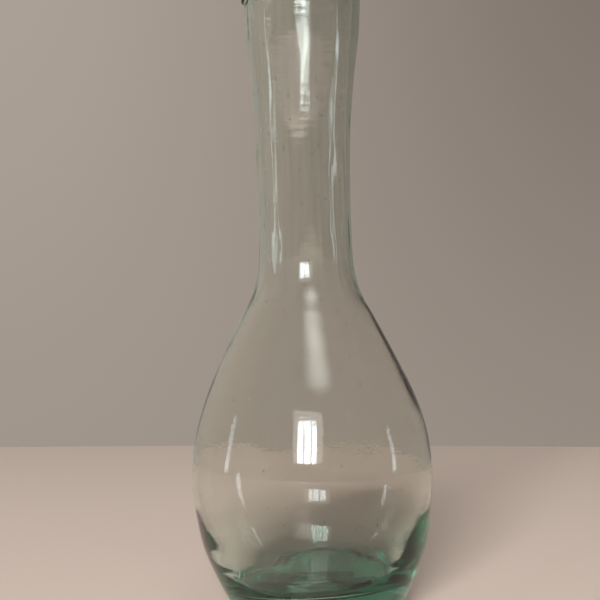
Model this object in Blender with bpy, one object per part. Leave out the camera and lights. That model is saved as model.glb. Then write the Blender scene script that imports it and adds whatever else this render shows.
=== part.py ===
"""A free-blown glass flask: a round body on a heavy base, a long neck and a thick lip.

Metres, +Z up. The origin lies on the surface that the flask stands on, under the middle
of the body at its widest. The glass was shaped by hand: the neck leans a little towards
-X and -Y on its way up, the mouth isn't quite level, the roll of the lip hangs lower on one
side, and the inside floor is domed and tips towards -X and -Y.
"""

import math

import bmesh
import bpy

# Driving dimensions
BODY_RADIUS = 0.0562
BODY_WIDEST = 0.0600  # height of the widest ring
FOOT_RADIUS = 0.0370  # outer edge of the flat ring that the flask stands on
NECK_RADIUS = 0.0217  # at the narrowest ring
LIP_RADIUS = 0.0286
LIP_TOP = 0.2975

# Heights where one section of the glass ends and the next begins
FLOOR = 0.0165  # joint between base and body, in the corner round the inside floor
BODY_TOP = 0.0780
SHOULDER_TOP = 0.1500
LIP_BOTTOM = 0.2905
GAP = 0.0003  # air left between neighbouring solids

# Hand-made irregularity
MOUTH_TILT = 0.050  # rise per unit of width, up towards +X
TILT_STARTS = 0.2500
TILT_FULL = 0.2790
# (height, place of the flask's middle along X) as it leans
LEAN = [
    (0.0000, 0.0022),
    (0.0250, 0.0014),
    (BODY_WIDEST, 0.0000),
    (0.0950, -0.0005),
    (0.1400, -0.0022),
    (0.1900, -0.0038),
    (0.2400, -0.0048),
    (0.2900, -0.0050),
]
# (height, place of the flask's middle along Y)
NOD = [
    (0.0000, 0.0000),
    (0.1100, 0.0000),
    (0.1400, -0.0004),
    (0.1900, -0.0015),
    (0.2250, -0.0029),
    (0.2620, -0.0053),
    (0.2900, -0.0059),
]

# (height, radius) of the outer surface from foot to lip
OUTER = [
    (0.0000, FOOT_RADIUS),
    (0.0010, 0.0386),
    (0.0040, 0.0406),
    (0.0150, 0.0464),
    (0.0320, 0.0529),
    (BODY_WIDEST, BODY_RADIUS),
    (0.0800, 0.0547),
    (0.1000, 0.0489),
    (0.1200, 0.0397),
    (0.1370, 0.0311),
    (0.1460, 0.0262),
    (0.1550, 0.0232),
    (0.1650, 0.0220),
    (0.1900, NECK_RADIUS),
    (0.2250, 0.0225),
    (0.2500, 0.0245),
    (0.2680, 0.0265),
    (LIP_BOTTOM, 0.0273),
]

# (height, thickness) of the wall, from the heavy corner at the floor to the lip
WALL = [
    (FLOOR, 0.0086),
    (0.0178, 0.0079),
    (0.0210, 0.0071),
    (0.0242, 0.0065),
    (0.0275, 0.0059),
    (0.0330, 0.0049),
    (0.0420, 0.0031),
    (0.0520, 0.0022),
    (0.0800, 0.0021),
    (SHOULDER_TOP, 0.0024),
    (0.2000, 0.0026),
    (0.2600, 0.0029),
    (LIP_BOTTOM, 0.0034),
]

# Base
KICK_HEIGHT = 0.0034  # how far the underside is pushed up at the middle
KICK_RADIUS = 0.0260  # inner edge of the flat standing ring
KICK_SHARES = (0.4, 0.55, 0.7, 0.85, 1)  # of KICK_RADIUS, where its curve has a ring
HEEL_HEIGHTS = (0, 0.0010, 0.0025, 0.0045, 0.0085)  # rings up the outer corner
FLOOR_TOP = 0.0186  # inside floor at the middle
# (radius, height) of the domed inside floor, from its corner inwards
FLOOR_DOME = [
    (0.0370, 0.0154),
    (0.0350, 0.0149),
    (0.0320, 0.0154),
    (0.0280, 0.0166),
    (0.0220, 0.0178),
    (0.0120, 0.0185),
]
FLOOR_RISE = (0.065, 0.080)  # rise of the inside floor per unit of width, towards +X and +Y
RISE_FULL, RISE_ENDS = 0.0160, 0.0620
INSIDE_STARTS = 0.0100  # everything inside the vessel is higher than this

# The roll of the lip reaches down outside the neck, furthest at its lap on the -X side
ROLL_DROP = 0.0010
LAP_DROP = 0.0055
LAP_HALF_ANGLE = math.radians(32)

# Scar where the holding rod was broken off
SCAR_RADIUS = 0.0090
SCAR_BORE = 0.0045
SCAR_DEPTH = 0.0013
SCAR_BEVEL = 0.0008  # how much narrower the broken edge is on each side

SEGMENTS = 48  # round the flask
BODY_HEIGHTS = (0.0190, 0.0225, 0.0275, 0.0330, 0.0420, 0.0520, 0.0600, 0.0690)  # its inner rings
SHOULDER_RINGS = 8
NECK_RINGS = 10
LIP_STEPS = 8

CLEAR_GLASS = (0.72, 0.82, 0.78)
BASE_GLASS = (0.20, 0.46, 0.38)
LIP_GLASS = (0.10, 0.38, 0.34)
SCAR_GLASS = (0.55, 0.66, 0.62)


def smooth_through(points):
    """A function of height that passes through every (height, value) point smoothly."""
    heights = [height for height, _ in points]
    values = [value for _, value in points]
    last = len(points) - 1
    slopes = []
    for i in range(len(points)):
        low, high = max(i - 1, 0), min(i + 1, last)
        slopes.append((values[high] - values[low]) / (heights[high] - heights[low]))

    def value_at(height):
        i = 0
        while i < last - 1 and height > heights[i + 1]:
            i += 1
        step = heights[i + 1] - heights[i]
        t = (height - heights[i]) / step
        keep = (1 + 2 * t) * (1 - t) ** 2
        reach = t * t * (3 - 2 * t)
        leave = step * slopes[i] * t * (1 - t) ** 2
        arrive = step * slopes[i + 1] * t * t * (t - 1)
        return keep * values[i] + reach * values[i + 1] + leave + arrive

    return value_at


outer_radius = smooth_through(OUTER)
wall_thickness = smooth_through(WALL)
lean_at = smooth_through(LEAN)
nod_at = smooth_through(NOD)


def inner_radius(height):
    return outer_radius(height) - wall_thickness(height)


def spaced(start, end, count):
    """`count` heights from start to end, both included."""
    return [start + (end - start) * i / (count - 1) for i in range(count)]


def round_top(radius, height, half_width, half_height, steps):
    """(radius, height) points over the top half of an ellipse, from outside to inside."""
    return [
        (radius + half_width * math.cos(angle), height + half_height * math.sin(angle))
        for angle in spaced(0, math.pi, steps + 1)
    ]


def smoothstep(start, end, value):
    t = min(max((value - start) / (end - start), 0.0), 1.0)
    return t * t * (3 - 2 * t)


def hand_shaped(point):
    """Moves a point of the true round form to its place on the leaning, tilted flask."""
    rise = MOUTH_TILT * smoothstep(TILT_STARTS, TILT_FULL, point.z) * point.x
    point.x += lean_at(point.z)
    point.y += nod_at(point.z)
    point.z += rise


def glass(name, colour, roughness):
    material = bpy.data.materials.new(name)
    material.use_nodes = True
    shader = material.node_tree.nodes["Principled BSDF"]
    shader.inputs["Base Color"].default_value = (*colour, 1)
    shader.inputs["Roughness"].default_value = roughness
    shader.inputs["Metallic"].default_value = 0
    shader.inputs["IOR"].default_value = 1.5
    shader.inputs["Transmission Weight"].default_value = 1
    return material


def turned(name, outline, material, closed=True, reshape=None):
    """A round solid, spun from its (radius, height) outline.

    A closed outline is a ring's cross-section. An open one starts and ends on the axis.
    reshape moves the points of the true round form before the flask's lean and tilt.
    """
    shape = bmesh.new()
    points = [shape.verts.new((radius, 0, height)) for radius, height in outline]
    edges = [shape.edges.new(pair) for pair in zip(points, points[1:])]
    if closed:
        edges.append(shape.edges.new((points[-1], points[0])))
    bmesh.ops.spin(
        shape,
        geom=points + edges,
        cent=(0, 0, 0),
        axis=(0, 0, 1),
        angle=2 * math.pi,
        steps=SEGMENTS,
        use_merge=True,
    )
    bmesh.ops.remove_doubles(shape, verts=shape.verts, dist=1e-6)
    bmesh.ops.recalc_face_normals(shape, faces=shape.faces)
    for vertex in shape.verts:
        if reshape:
            reshape(vertex.co)
        hand_shaped(vertex.co)
    mesh = bpy.data.meshes.new(name)
    shape.to_mesh(mesh)
    shape.free()
    mesh.materials.append(material)
    mesh.shade_smooth()
    mesh.set_sharp_from_angle(angle=math.radians(40))
    solid = bpy.data.objects.new(name, mesh)
    bpy.context.scene.collection.objects.link(solid)
    return solid


def kick_height(radius):
    """Height of the pushed-up underside, this far out from the middle."""
    return KICK_HEIGHT * (1 + math.cos(math.pi * radius / KICK_RADIUS)) / 2


def tip_inside(point):
    """Tips the inside floor and the foot of the inside wall; the outside stays true."""
    across = math.hypot(point.x, point.y)
    if point.z > INSIDE_STARTS and across < outer_radius(point.z) - wall_thickness(point.z) / 2:
        rise = FLOOR_RISE[0] * point.x + FLOOR_RISE[1] * point.y
        point.z += rise * (1 - smoothstep(RISE_FULL, RISE_ENDS, point.z))


def make_base():
    """The thick bottom of the vessel, flat under its rim and pushed up at the middle."""
    kick = [(KICK_RADIUS * share, kick_height(KICK_RADIUS * share)) for share in KICK_SHARES]
    heel = [(outer_radius(height), height) for height in (*HEEL_HEIGHTS, FLOOR)]
    outline = [(0, KICK_HEIGHT), *kick, *heel, (inner_radius(FLOOR), FLOOR), *FLOOR_DOME, (0, FLOOR_TOP)]
    material = glass("base_glass", BASE_GLASS, 0.08)
    turned("base", outline, material, closed=False, reshape=tip_inside)


def make_wall(name, heights, reshape=None):
    """A length of the thin blown wall, with rings at these heights."""
    outline = [(outer_radius(height), height) for height in heights]
    outline += [(inner_radius(height), height) for height in reversed(heights)]
    turned(name, outline, glass(name + "_glass", CLEAR_GLASS, 0.04), reshape=reshape)


def hang_lap(point):
    """Draws the lower edge of the lip's roll down on the -X side."""
    if point.z < LIP_BOTTOM:
        away = abs(math.atan2(point.y, -point.x)) / LAP_HALF_ANGLE
        point.z -= LAP_DROP * (1 + math.cos(math.pi * min(away, 1))) / 2


def make_lip():
    """The rounded roll of glass round the mouth, turned down over the top of the neck."""
    bottom = LIP_BOTTOM + GAP
    inside = inner_radius(LIP_BOTTOM)
    outside = outer_radius(LIP_BOTTOM) + GAP
    middle = (inside + LIP_RADIUS) / 2
    half_width = (LIP_RADIUS - inside) / 2
    half_height = (LIP_TOP - bottom) / 2
    outline = [
        (inside, bottom),
        (outside, bottom),
        (outside, LIP_BOTTOM - ROLL_DROP),
        (LIP_RADIUS - GAP, LIP_BOTTOM - ROLL_DROP),
        (LIP_RADIUS, bottom + half_height / 2),
        *round_top(middle, LIP_TOP - half_height, half_width, half_height, LIP_STEPS),
    ]
    turned("lip", outline, glass("lip_glass", LIP_GLASS, 0.05), reshape=hang_lap)


def make_scar():
    """The broken ring of glass that the holding rod left in the pushed-up middle."""
    ceiling = kick_height(SCAR_RADIUS) - GAP
    outline = [
        (SCAR_BORE, ceiling),
        (SCAR_BORE + SCAR_BEVEL, ceiling - SCAR_DEPTH),
        (SCAR_RADIUS - 2 * SCAR_BEVEL, ceiling - SCAR_DEPTH),
        (SCAR_RADIUS - SCAR_BEVEL / 2, ceiling - SCAR_DEPTH / 2),
        (SCAR_RADIUS, ceiling),
    ]
    turned("pontil_scar", outline, glass("scar_glass", SCAR_GLASS, 0.4))


def clear_scene():
    for thing in list(bpy.data.objects):
        bpy.data.objects.remove(thing, do_unlink=True)


def main():
    clear_scene()
    make_base()
    make_wall("body", (FLOOR + GAP, *BODY_HEIGHTS, BODY_TOP), reshape=tip_inside)
    make_wall("shoulder", spaced(BODY_TOP + GAP, SHOULDER_TOP, SHOULDER_RINGS))
    make_wall("neck", spaced(SHOULDER_TOP + GAP, LIP_BOTTOM, NECK_RINGS))
    make_lip()
    make_scar()


main()
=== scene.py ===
"""Looks of the blown glass flask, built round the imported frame.

All of the vessel's glass is one continuous surface: inside floor, inside wall, lip, outside
wall, foot and pushed-up underside. Lengths are in design millimetres, and MM turns them
into metres from the frame's real height.
"""

import math
import random

import bmesh
import bpy
import numpy as np
from mathutils import Matrix, Vector, noise


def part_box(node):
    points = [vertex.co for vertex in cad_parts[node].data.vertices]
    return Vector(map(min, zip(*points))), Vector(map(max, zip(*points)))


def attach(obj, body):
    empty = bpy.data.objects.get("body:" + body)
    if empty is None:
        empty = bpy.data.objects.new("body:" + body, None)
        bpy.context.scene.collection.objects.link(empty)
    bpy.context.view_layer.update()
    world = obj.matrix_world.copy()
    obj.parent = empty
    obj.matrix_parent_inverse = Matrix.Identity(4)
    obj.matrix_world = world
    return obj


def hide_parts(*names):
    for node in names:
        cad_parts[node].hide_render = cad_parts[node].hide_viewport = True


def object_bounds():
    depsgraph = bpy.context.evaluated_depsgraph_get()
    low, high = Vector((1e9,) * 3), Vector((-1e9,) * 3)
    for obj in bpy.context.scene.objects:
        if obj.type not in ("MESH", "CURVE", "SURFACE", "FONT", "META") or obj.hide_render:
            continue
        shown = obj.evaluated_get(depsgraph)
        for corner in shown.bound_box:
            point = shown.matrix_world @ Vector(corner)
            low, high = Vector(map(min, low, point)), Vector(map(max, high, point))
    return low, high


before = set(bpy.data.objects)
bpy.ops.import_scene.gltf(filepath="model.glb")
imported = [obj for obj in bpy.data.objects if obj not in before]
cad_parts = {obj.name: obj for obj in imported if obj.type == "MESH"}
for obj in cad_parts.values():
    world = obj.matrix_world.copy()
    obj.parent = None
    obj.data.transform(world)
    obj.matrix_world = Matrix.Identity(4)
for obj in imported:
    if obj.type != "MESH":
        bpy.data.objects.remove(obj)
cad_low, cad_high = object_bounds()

DESIGN_HEIGHT = 298.8
MM = (cad_high.z - cad_low.z) / DESIGN_HEIGHT

# (height, radius) of the outside, from foot to lip
OUTSIDE = [
    (0.0, 37.0),
    (1.0, 38.6),
    (4.0, 40.6),
    (15.0, 46.4),
    (32.0, 52.9),
    (60.0, 56.2),
    (80.0, 54.7),
    (100.0, 48.9),
    (120.0, 39.7),
    (137.0, 31.1),
    (146.0, 26.2),
    (155.0, 23.2),
    (165.0, 22.0),
    (190.0, 21.7),
    (225.0, 22.5),
    (250.0, 24.5),
    (268.0, 26.5),
    (290.5, 27.3),
]
# (height, thickness) of the wall
WALL = [
    (27.5, 5.9),
    (33.0, 4.9),
    (42.0, 3.1),
    (52.0, 2.2),
    (80.0, 2.1),
    (150.0, 2.4),
    (200.0, 2.6),
    (260.0, 2.9),
    (290.5, 3.4),
]
# (height, place of the flask's middle along X)
LEAN = [
    (0.0, 2.2),
    (25.0, 1.4),
    (60.0, 0.0),
    (95.0, -0.5),
    (140.0, -2.2),
    (190.0, -3.8),
    (240.0, -4.8),
    (290.0, -5.0),
]
# (height, place of the flask's middle along Y)
NOD = [
    (0.0, 0.0),
    (110.0, 0.0),
    (140.0, -0.4),
    (190.0, -1.5),
    (225.0, -2.9),
    (262.0, -5.3),
    (290.0, -5.9),
]
# (radius, height) of the inside floor and the heavy corner round it
FLOOR = [
    (0.0, 18.6),
    (12.0, 18.5),
    (22.0, 17.8),
    (28.0, 16.6),
    (32.0, 15.4),
    (35.0, 14.9),
    (37.5, 15.6),
    (39.8, 17.8),
    (42.0, 21.0),
    (43.9, 24.2),
    (45.6, 27.5),
]

NECK_TOP = OUTSIDE[-1][0]
CORNER_TOP = FLOOR[-1][1]
FOOT_EDGE = OUTSIDE[0][1]
HEEL_TOP = 4.0
HEEL_HEIGHTS = (HEEL_TOP, 3.0, 2.2, 1.5, 1.0, 0.6, 0.3, 0.12, 0.03)  # rings down the foot's corner
KICK_RADIUS = 26.0  # inner edge of the flat ring that the flask stands on
KICK_HEIGHT = 3.4  # how far the underside is pushed up at the middle
LIP_MIDDLE = (26.25, 294.0)  # (radius, height) of the middle of the lip's cross-section
LIP_HALF_WIDTH = 2.35
LIP_HALF_HEIGHT = 3.47

# How finely the surface is divided
SEGMENTS = 192  # round the flask
RING_STEP = 1.2
FINE_STEP = 0.5  # between rings at the lap of the lip

# Ragged ring of the pontil scar
SCAR_SEGMENTS = 120
SCAR_SIDES = 12
SCAR_BAND = 0.25  # half the ring's width, as a share of its radius

# Hand-made irregularity
MOUTH_TILT = 0.050  # rise per unit of width, up towards +X
TILT_STARTS, TILT_FULL = 250.0, 279.0
FLOOR_TILT = (0.065, 0.08)  # rise of the inside floor per unit of width, towards +X and +Y
FLOOR_SHIFT = 0.2  # of the inside floor, towards +X
FLOOR_TILTED, FLOOR_EVENS_OUT = 16, 62.0
RING_WAVES = (0.05, 0.02)  # height of the round waves of the inside floor and of the underside
FRONT_FLAT = 0.95  # how much flatter the body's front is, above its widest ring
# The roll of the lip hangs lower at its lap on the -X side
LAP_DROP = 7.6
LAP_HALF_ANGLE = math.radians(32)
LAP_PROUD = 1.15  # how far the roll stands out from the neck

# Bubbles
SEED_COUNT = 650
SEED_HEIGHTS = (28, 284)
BASE_SEED_COUNT = 70
BASE_SEED_HEIGHTS = (5.4, 12.5)
BASE_SEED_REACH = 36  # how far out from the middle
SEED_ORDER = 41  # start of the random draws

GLASS_IOR = 1.5
GLASS_TINT = (0.08, 0.62, 0.48, 1)
GLASS_DENSITY = 34  # per metre of glass
BUMP_DEPTH = 0.0004

# Studio, in metres
STUDIO_FLOOR_RADIUS = 2.5
STUDIO_FLOOR_EDGE = 0.93  # how far behind the flask the floor ends
STUDIO_FLOOR_TOP = -0.0002
STUDIO_FLOOR_COLOUR = (0.70, 0.60, 0.54)
DAYLIGHT = (0.84, 0.93, 1.0)
CURTAIN_WHITE = (1.0, 0.94, 0.90)
GLOW_WHITE = (1.0, 0.97, 0.94)
KEY_WHITE = (1.0, 0.96, 0.92)
PANES = ((-6.3, 5.2), (0.2, 5.8), (6.5, 4.8))  # (degrees aside, width) of the window's panes
STRIP_SIDES = (-86, 84)
STRIPS = ((1.5, 7, 6.5), (11, 12, 4.2))  # (elevation, height, radiance)
LIT_HEIGHT = 120 * MM  # the lights face this height on the flask
VIEW_ASIDE = -5.8 * MM
VIEW_PLACE = (VIEW_ASIDE, -0.703, 0.134)
VIEW_AIM = (VIEW_ASIDE, 0, 144.3 * MM)
VIEW_LENS = 90
VIEW_SENSOR = 36


def smooth_through(points):
    """A function that passes through every (place, value) point without corners."""
    places = [place for place, _ in points]
    values = [value for _, value in points]
    last = len(points) - 1
    slopes = []
    for i in range(len(points)):
        low, high = max(i - 1, 0), min(i + 1, last)
        slopes.append((values[high] - values[low]) / (places[high] - places[low]))

    def value_at(place):
        i = 0
        while i < last - 1 and place > places[i + 1]:
            i += 1
        step = places[i + 1] - places[i]
        t = (place - places[i]) / step
        keep = (1 + 2 * t) * (1 - t) ** 2
        reach = t * t * (3 - 2 * t)
        leave = step * slopes[i] * t * (1 - t) ** 2
        arrive = step * slopes[i + 1] * t * t * (t - 1)
        return keep * values[i] + reach * values[i + 1] + leave + arrive

    return value_at


outer_radius = smooth_through(OUTSIDE)
wall_thickness = smooth_through(WALL)
floor_height = smooth_through(FLOOR)
lean_at = smooth_through(LEAN)
nod_at = smooth_through(NOD)


def inner_radius(height):
    return outer_radius(height) - wall_thickness(height)


def smoothstep(low, high, value):
    t = min(max((value - low) / (high - low), 0.0), 1.0)
    return t * t * (3 - 2 * t)


def section():
    """(radius, height, surface) from the middle of the floor, over the lip, to the middle
    of the underside."""
    path = []
    radius = 0.0
    while radius < FLOOR[-1][0]:
        path.append((radius, floor_height(radius), "floor"))
        radius += RING_STEP * (1.0 if radius < 30 else 0.5)
    height = CORNER_TOP
    while height < NECK_TOP:
        path.append((inner_radius(height), height, "inside"))
        height += RING_STEP
    for degrees in range(180, -51, -10):
        angle = math.radians(degrees)
        path.append(
            (
                LIP_MIDDLE[0] + LIP_HALF_WIDTH * math.cos(angle),
                LIP_MIDDLE[1] + LIP_HALF_HEIGHT * math.sin(angle),
                "lip",
            )
        )
    height = NECK_TOP - FINE_STEP
    while height > HEEL_TOP:
        path.append((outer_radius(height), height, "outside"))
        height -= FINE_STEP if height > NECK_TOP - LAP_DROP - 3 else RING_STEP
    for height in HEEL_HEIGHTS:
        path.append((outer_radius(height), height, "foot"))
    radius = FOOT_EDGE - 0.2
    while radius > KICK_RADIUS:
        path.append((radius, 0.0, "foot"))
        radius -= RING_STEP
    while radius > 0.6:
        rise = KICK_HEIGHT * (1 + math.cos(math.pi * radius / KICK_RADIUS)) / 2
        path.append((radius, rise, "under"))
        radius -= RING_STEP
    path.append((0.0, KICK_HEIGHT, "under"))
    return path


def lap(height, theta):
    """How far the lap of the lip's roll stands proud of the neck here."""
    away = abs(math.remainder(theta - math.pi, 2 * math.pi)) / LAP_HALF_ANGLE
    edge = NECK_TOP - LAP_DROP * (1 + math.cos(math.pi * min(away, 1))) / 2
    return LAP_PROUD * smoothstep(edge - 0.3, edge + 1.0, height)


def hand_blown(radius, height, theta, surface):
    """Where a point of the true turned form lies on the real, uneven glass."""
    c, s = math.cos(theta), math.sin(theta)
    inside = surface in ("inside", "floor")
    side = 11.0 if inside else 0.0
    broad = noise.noise(Vector((c * 0.9 + side, s * 0.9, height / 60)))
    patch = noise.noise(Vector((c * 3.0 + side, s * 3.0, height / 17)))
    neck = smoothstep(130, 175, height)
    streak = noise.noise(Vector((c * 10 + side, s * 10, height / 45)))
    ripple = noise.noise(Vector((c * 1.6 + side, s * 1.6, height / 2.6)))
    ripple *= 1 + 3 * smoothstep(225, 250, height)
    if inside:
        calm = 0.35 + 0.65 * smoothstep(30, 70, height)
        change = calm * (0.25 * broad + 0.14 * patch) + (0.01 + 0.06 * neck) * streak
        change += 0.010 * ripple
    else:
        change = 0.28 * broad - 0.3 * (1 - neck) + 0.06 * patch + (0.005 + 0.03 * neck) * streak
        change += 0.008 * ripple
        if surface == "outside" and height > NECK_TOP - LAP_DROP - 2:
            change += lap(height, theta)
    front = max(0.0, -s) ** 3 * (1 - neck)
    change -= FRONT_FLAT * front * smoothstep(62, 84, height) * (1 - smoothstep(84, 130, height))
    if surface in ("floor", "under"):
        rings = math.sin(radius * 1.15 + 1.2 * broad) * RING_WAVES[0 if inside else 1]
        height += (rings + 0.02 * patch) * smoothstep(0, 6, radius)
        change = 0.0
    if surface == "foot":
        change *= smoothstep(0.0, 4.0, height)
    radius = max(radius + change * smoothstep(0, 20, radius), 0.0)
    x, y, z = radius * c, radius * s, height
    if inside:
        heavy = 1 - smoothstep(FLOOR_TILTED, FLOOR_EVENS_OUT, height)
        z += (FLOOR_TILT[0] * x + FLOOR_TILT[1] * y) * heavy
        x += FLOOR_SHIFT * heavy
    lift = MOUTH_TILT * smoothstep(TILT_STARTS, TILT_FULL, height) * x
    return Vector((x + lean_at(height), y + nod_at(height), max(z, 0.0) + lift)) * MM


def vessel_surface():
    """Points and faces of the one closed surface of the glass."""
    path = section()
    points = [hand_blown(*path[0][:2], 0.0, path[0][2])]
    for radius, height, surface in path[1:-1]:
        for i in range(SEGMENTS):
            theta = 2 * math.pi * i / SEGMENTS
            points.append(hand_blown(radius, height, theta, surface))
    points.append(hand_blown(*path[-1][:2], 0.0, path[-1][2]))
    rings = len(path) - 2
    faces = []
    for i in range(SEGMENTS):
        after = (i + 1) % SEGMENTS
        faces.append((0, 1 + i, 1 + after))
        for ring in range(rings - 1):
            start = 1 + ring * SEGMENTS
            faces.append(
                (start + i, start + SEGMENTS + i, start + SEGMENTS + after, start + after)
            )
        start = 1 + (rings - 1) * SEGMENTS
        faces.append((start + i, len(points) - 1, start + after))
    return points, faces


def ball(detail):
    """Points and inward-facing triangles of a unit ball."""
    shape = bmesh.new()
    bmesh.ops.create_icosphere(shape, subdivisions=detail, radius=1)
    shape.verts.ensure_lookup_table()
    points = np.array([vertex.co for vertex in shape.verts])
    faces = [tuple(vertex.index for vertex in reversed(face.verts)) for face in shape.faces]
    shape.free()
    return points, faces


def wall_seeds(rng):
    """(middle, radii, theta) of the bubbles caught in the thin wall, drawn out lengthwise."""
    for _ in range(SEED_COUNT):
        height = rng.uniform(*SEED_HEIGHTS)
        theta = rng.uniform(0, 2 * math.pi)
        thick = wall_thickness(height)
        across = min(0.10 + 0.22 * rng.random() ** 2.5, 0.16 * thick)
        drawn = 1.15 + 1.2 * rng.random() + 2.6 * smoothstep(150, 200, height) * rng.random()
        depth = rng.uniform(0.38, 0.62)
        radius = inner_radius(height) + depth * thick
        middle = hand_blown(radius, height, theta, "outside")
        yield middle, (across * 0.8, across, across * drawn), theta


def base_seeds(rng):
    """(middle, radii, theta) of the bubbles in the heavy base."""
    for _ in range(BASE_SEED_COUNT):
        theta = rng.uniform(0, 2 * math.pi)
        radius = BASE_SEED_REACH * math.sqrt(rng.random())
        height = rng.uniform(*BASE_SEED_HEIGHTS)
        across = 0.15 + 0.35 * rng.random() ** 2
        middle = hand_blown(radius, height, theta, "outside")
        yield middle, (across, across, across * 0.8), theta


def add_seeds(points, faces):
    """Adds every bubble to the glass as a small closed hollow."""
    rng = random.Random(SEED_ORDER)
    shell, shell_faces = ball(2)
    for middle, radii, theta in [*wall_seeds(rng), *base_seeds(rng)]:
        turn = np.array(Matrix.Rotation(theta, 3, "Z"))
        start = len(points)
        placed = (shell * np.array(radii) * MM) @ turn.T + np.array(middle)
        points.extend(Vector(point) for point in placed)
        faces.extend(tuple(start + i for i in face) for face in shell_faces)


def new_object(name, points, faces, material):
    mesh = bpy.data.meshes.new(name)
    mesh.from_pydata(points, [], faces)
    mesh.materials.append(material)
    mesh.shade_smooth()
    thing = bpy.data.objects.new(name, mesh)
    bpy.context.scene.collection.objects.link(thing)
    return thing


def add_node(tree, kind, **inputs):
    """A new node with these input values, spaces in input names written as underscores."""
    node = tree.nodes.new(kind)
    for name, value in inputs.items():
        node.inputs[name.replace("_", " ")].default_value = value
    return node


def stretched_noise(tree, scale, size, detail):
    """Noise in object space, drawn out along the axes that have a small scale."""
    place = tree.nodes.new("ShaderNodeTexCoord")
    mapping = add_node(tree, "ShaderNodeMapping", Scale=scale)
    grain = add_node(tree, "ShaderNodeTexNoise", Scale=size, Detail=detail)
    tree.links.new(place.outputs["Object"], mapping.inputs["Vector"])
    tree.links.new(mapping.outputs["Vector"], grain.inputs["Vector"])
    return grain


def bumped(tree, grain, strength, below=None):
    """Bumps of this grain, on top of the bumps below them."""
    bump = add_node(tree, "ShaderNodeBump", Strength=strength, Distance=BUMP_DEPTH)
    tree.links.new(grain.outputs["Fac"], bump.inputs["Height"])
    if below:
        tree.links.new(below.outputs["Normal"], bump.inputs["Normal"])
    return bump


def clear_material(name, colour):
    """A material that light passes through, with its node tree and its shader."""
    material = bpy.data.materials.new(name)
    material.use_nodes = True
    tree = material.node_tree
    shader = tree.nodes["Principled BSDF"]
    shader.inputs["Base Color"].default_value = (*colour, 1)
    shader.inputs["Metallic"].default_value = 0
    shader.inputs["IOR"].default_value = GLASS_IOR
    shader.inputs["Transmission Weight"].default_value = 1
    return material, tree, shader


def rises_with_height(tree, low, high, at_low, at_high):
    """A value that goes from at_low to at_high between these heights."""
    place = tree.nodes.new("ShaderNodeTexCoord")
    split = tree.nodes.new("ShaderNodeSeparateXYZ")
    tree.links.new(place.outputs["Object"], split.inputs["Vector"])
    zone = add_node(
        tree, "ShaderNodeMapRange", From_Min=low * MM, From_Max=high * MM, To_Min=at_low, To_Max=at_high
    )
    zone.interpolation_type = "SMOOTHSTEP"
    tree.links.new(split.outputs["Z"], zone.inputs["Value"])
    return zone.outputs["Result"]


def vessel_glass():
    """Old recycled glass: teal in the mass, with small dents, fine rings and a dusty skin."""
    material, tree, shader = clear_material("vessel_glass", (0.995, 0.965, 0.94))
    dents = stretched_noise(tree, (1, 1, 1.6), 420, 2)
    rings = stretched_noise(tree, (0.08, 0.08, 1), 650, 2)
    fine = bumped(tree, rings, 0)
    tree.links.new(rises_with_height(tree, 225, 262, 0.05, 0.13), fine.inputs["Strength"])
    both = bumped(tree, dents, 0.025, fine)
    tree.links.new(both.outputs["Normal"], shader.inputs["Normal"])
    dust = stretched_noise(tree, (1, 1, 1), 60, 6)
    film = add_node(tree, "ShaderNodeMapRange", From_Min=0.45, From_Max=0.8, To_Min=0.0, To_Max=0.05)
    tree.links.new(dust.outputs["Fac"], film.inputs["Value"])
    tree.links.new(film.outputs["Result"], shader.inputs["Roughness"])
    mass = tree.nodes.new("ShaderNodeVolumeAbsorption")
    mass.inputs["Color"].default_value = GLASS_TINT
    mass.inputs["Density"].default_value = GLASS_DENSITY
    tree.links.new(mass.outputs["Volume"], tree.nodes["Material Output"].inputs["Volume"])
    return material


def make_vessel():
    points, faces = vessel_surface()
    add_seeds(points, faces)
    vessel = new_object("flask_glass", points, faces, vessel_glass())
    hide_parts("base", "body", "shoulder", "neck", "lip")
    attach(vessel, "root")


def scar_glass():
    """The same glass where it broke: matt and splintered."""
    material, tree, shader = clear_material("scar_glass", (0.90, 0.96, 0.94))
    shader.inputs["Roughness"].default_value = 0.25
    chips = stretched_noise(tree, (1, 1, 1), 900, 3)
    tree.links.new(bumped(tree, chips, 0.3).outputs["Normal"], shader.inputs["Normal"])
    return material


def make_scar():
    """The ragged ring that the holding rod left under the pushed-up middle of the foot."""
    low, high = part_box("pontil_scar")
    middle = (low + high) / 2
    reach = Vector((high.x - low.x, high.y - low.y, 0)) / 2
    points = []
    for i in range(SCAR_SEGMENTS):
        theta = 2 * math.pi * i / SCAR_SEGMENTS
        c, s = math.cos(theta), math.sin(theta)
        for j in range(SCAR_SIDES):
            turn = 2 * math.pi * j / SCAR_SIDES
            chip = noise.noise(Vector((c * 3.1, s * 3.1, j * 0.9)))
            splinter = noise.noise(Vector((c * 11, s * 11, j * 2.3)))
            across = SCAR_BAND * (0.75 + 0.45 * chip) * math.cos(turn)
            share = min(1 - SCAR_BAND + across, 0.99)
            drop = (0.5 - 0.5 * math.sin(turn)) * (0.75 + 0.5 * chip + 0.35 * splinter)
            z = high.z - min(max(drop, 0.0), 1.0) * (high.z - low.z)
            points.append((middle.x + reach.x * share * c, middle.y + reach.y * share * s, z))
    faces = []
    for i in range(SCAR_SEGMENTS):
        after = (i + 1) % SCAR_SEGMENTS
        here, there = i * SCAR_SIDES, after * SCAR_SIDES
        for j in range(SCAR_SIDES):
            beside = (j + 1) % SCAR_SIDES
            faces.append((here + j, there + j, there + beside, here + beside))
    scar = new_object("scar_glass", points, faces, scar_glass())
    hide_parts("pontil_scar")
    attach(scar, "root")


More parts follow.
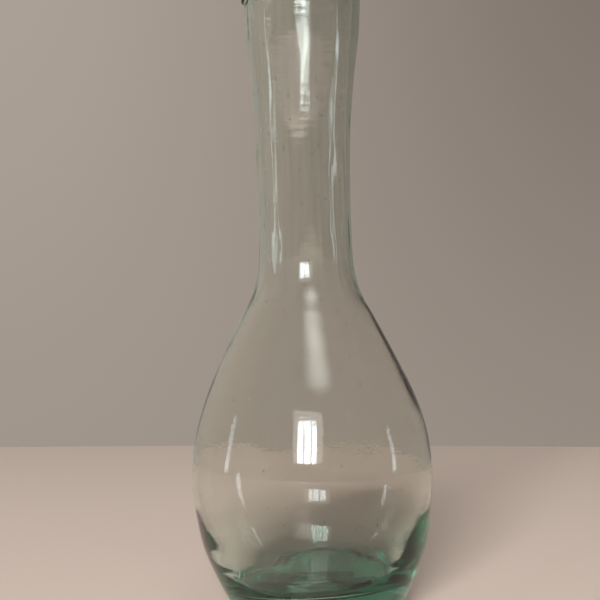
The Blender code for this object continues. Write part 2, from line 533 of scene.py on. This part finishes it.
def plain_material(name, colour, roughness):
    material = bpy.data.materials.new(name)
    material.use_nodes = True
    shader = material.node_tree.nodes["Principled BSDF"]
    shader.inputs["Base Color"].default_value = (*colour, 1)
    shader.inputs["Roughness"].default_value = roughness
    return material


def make_floor():
    shape = bmesh.new()
    bmesh.ops.create_circle(shape, cap_ends=True, segments=256, radius=STUDIO_FLOOR_RADIUS)
    mesh = bpy.data.meshes.new("floor")
    shape.to_mesh(mesh)
    shape.free()
    mesh.materials.append(plain_material("floor", STUDIO_FLOOR_COLOUR, 0.7))
    floor = bpy.data.objects.new("floor", mesh)
    floor.location = (0, STUDIO_FLOOR_EDGE - STUDIO_FLOOR_RADIUS, STUDIO_FLOOR_TOP)
    bpy.context.scene.collection.objects.link(floor)


def make_world():
    """A plain warm backdrop, dimmer in front and on the right, of the floor's tone lower down."""
    world = bpy.data.worlds.new("studio")
    world.use_nodes = True
    tree = world.node_tree
    place = tree.nodes.new("ShaderNodeTexCoord")
    split = tree.nodes.new("ShaderNodeSeparateXYZ")
    tree.links.new(place.outputs["Generated"], split.inputs["Vector"])
    colour = None
    for axis, low, high, below, above in (
        ("X", -0.22, 0.24, (0.42, 0.365, 0.315, 1), (0.20, 0.165, 0.14, 1)),
        ("Y", -0.6, 0.8, (0.10, 0.095, 0.09, 1), None),
        ("Z", -0.26, 0.32, (0.33, 0.285, 0.245, 1), None),
    ):
        ramp = add_node(tree, "ShaderNodeMapRange", From_Min=low, From_Max=high)
        ramp.interpolation_type = "SMOOTHSTEP"
        tree.links.new(split.outputs[axis], ramp.inputs["Value"])
        mix = tree.nodes.new("ShaderNodeMix")
        mix.data_type = "RGBA"
        tree.links.new(ramp.outputs["Result"], mix.inputs["Factor"])
        mix.inputs["A"].default_value = below
        if above:
            mix.inputs["B"].default_value = above
        else:
            tree.links.new(colour, mix.inputs["B"])
        colour = mix.outputs["Result"]
    tree.links.new(colour, tree.nodes["Background"].inputs["Color"])
    bpy.context.scene.world = world


def direction(azimuth, elevation):
    """Unit vector from the flask; azimuth 0 points to the camera's side, and 90 to +X."""
    a, e = math.radians(azimuth), math.radians(elevation)
    return Vector((math.sin(a) * math.cos(e), -math.cos(a) * math.cos(e), math.sin(e)))


def panel(name, azimuth, elevation, distance, width, height, radiance, colour, aside=0.0):
    """A soft rectangular light that faces the flask, its size in degrees as seen from there."""
    light = bpy.data.lights.new(name, "AREA")
    light.shape = "RECTANGLE"
    light.size = 2 * distance * math.tan(math.radians(width / 2))
    light.size_y = 2 * distance * math.tan(math.radians(height / 2))
    light.energy = radiance * math.pi * light.size * light.size_y
    light.color = colour
    towards = direction(azimuth, elevation)
    lamp = bpy.data.objects.new(name, light)
    lamp.rotation_euler = (-towards).to_track_quat("-Z", "Y").to_euler()
    across = lamp.rotation_euler.to_matrix().col[0]
    shift = math.tan(math.radians(aside)) * distance
    lamp.location = Vector((0, 0, LIT_HEIGHT)) + towards * distance + across * shift
    bpy.context.scene.collection.objects.link(lamp)
    return lamp


def fade_edges(lamp):
    """Lets a panel's light fall off smoothly from its middle to its edges."""
    lamp.data.use_nodes = True
    tree = lamp.data.node_tree
    place = tree.nodes.new("ShaderNodeNewGeometry")
    centred = add_node(tree, "ShaderNodeVectorMath")
    centred.operation = "DISTANCE"
    centred.inputs[1].default_value = (0.5, 0.5, 0)
    fall = add_node(tree, "ShaderNodeMapRange", From_Min=0.5, From_Max=0.0)
    fall.interpolation_type = "SMOOTHSTEP"
    tree.links.new(place.outputs["Parametric"], centred.inputs[0])
    tree.links.new(centred.outputs["Value"], fall.inputs["Value"])
    tree.links.new(fall.outputs["Result"], tree.nodes["Emission"].inputs["Strength"])


def make_window():
    """Three panes in a dimmer surround, which show in the glass and light nothing else."""
    for pane, (aside, width) in enumerate(PANES):
        glazing = panel(f"pane_{pane}", -4.8, 19.8, 3.0, width, 14.4, 12, DAYLIGHT, aside)
        glazing.visible_diffuse = False
    curtain = panel("curtain", -4.0, 22, 3.2, 28, 18, 2.0, CURTAIN_WHITE)
    curtain.visible_diffuse = False


def make_strips():
    """Narrow upright lights on both sides, seen only in the inner surfaces of the glass."""
    for side in STRIP_SIDES:
        for elevation, height, radiance in STRIPS:
            name = f"strip_{side}_{height}"
            strip = panel(name, side, elevation, 1.5, 4.5, height, radiance, DAYLIGHT)
            strip.visible_diffuse = False
            strip.visible_glossy = False


def make_lights():
    make_window()
    fade_edges(panel("glow", 11, 50, 2.0, 34, 30, 4.0, GLOW_WHITE))
    make_strips()
    key = panel("key", -8, 12.5, 6.0, 20, 14, 100, KEY_WHITE)
    key.visible_glossy = False
    key.visible_transmission = False


def make_camera():
    camera = bpy.data.cameras.new("camera")
    camera.sensor_width = VIEW_SENSOR
    camera.lens = VIEW_LENS
    view = bpy.data.objects.new("camera", camera)
    view.location = VIEW_PLACE
    view.rotation_euler = (Vector(VIEW_AIM) - view.location).to_track_quat("-Z", "Y").to_euler()
    bpy.context.scene.collection.objects.link(view)
    bpy.context.scene.camera = view


def set_light_paths():
    scene = bpy.context.scene
    scene.view_settings.view_transform = "Standard"
    scene.cycles.max_bounces = 32
    scene.cycles.transmission_bounces = 32
    scene.cycles.glossy_bounces = 16


make_camera()
make_world()
make_lights()
make_floor()
make_vessel()
make_scar()
set_light_paths()
